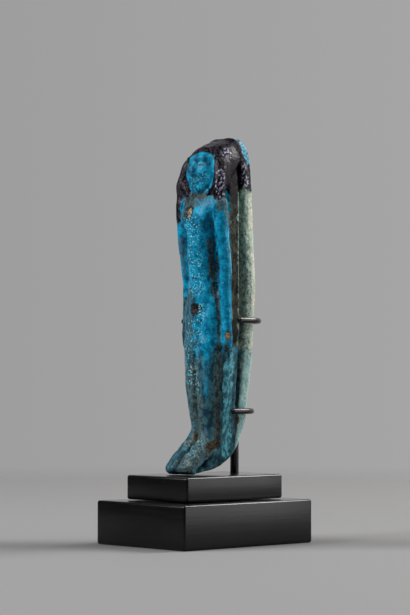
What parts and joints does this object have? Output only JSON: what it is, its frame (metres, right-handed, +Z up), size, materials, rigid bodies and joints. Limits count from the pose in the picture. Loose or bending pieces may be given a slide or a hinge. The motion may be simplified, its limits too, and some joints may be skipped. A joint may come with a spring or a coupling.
{
  "type": "concubine figurine on stand",
  "caption": "Blue glazed faience figurine of a nude woman in a dark wig on a backing slab, held upright on a stepped black plinth by a rod and bent wires.",
  "frame": {"origin": "middle of the plinth's underside", "axes": "+Z up, the figurine faces -Y and her left side is +X"},
  "size_m": [0.045, 0.06, 0.1411],
  "materials": {
    "blue_faience": "worn turquoise-blue glaze with a black-purple wig, brown soil in the hollows and a pale bare back",
    "blacked_metal": "satin black",
    "black_lacquer": "black lacquer, satin, with soft polished edges"
  },
  "bodies": {
    "root": {"figurine": "blue_faience", "mount_rod": "blacked_metal", "upper_cradle": "blacked_metal", "lower_cradle": "blacked_metal", "plinth_upper": "black_lacquer", "plinth_lower": "black_lacquer"}
  },
  "joints": []
}
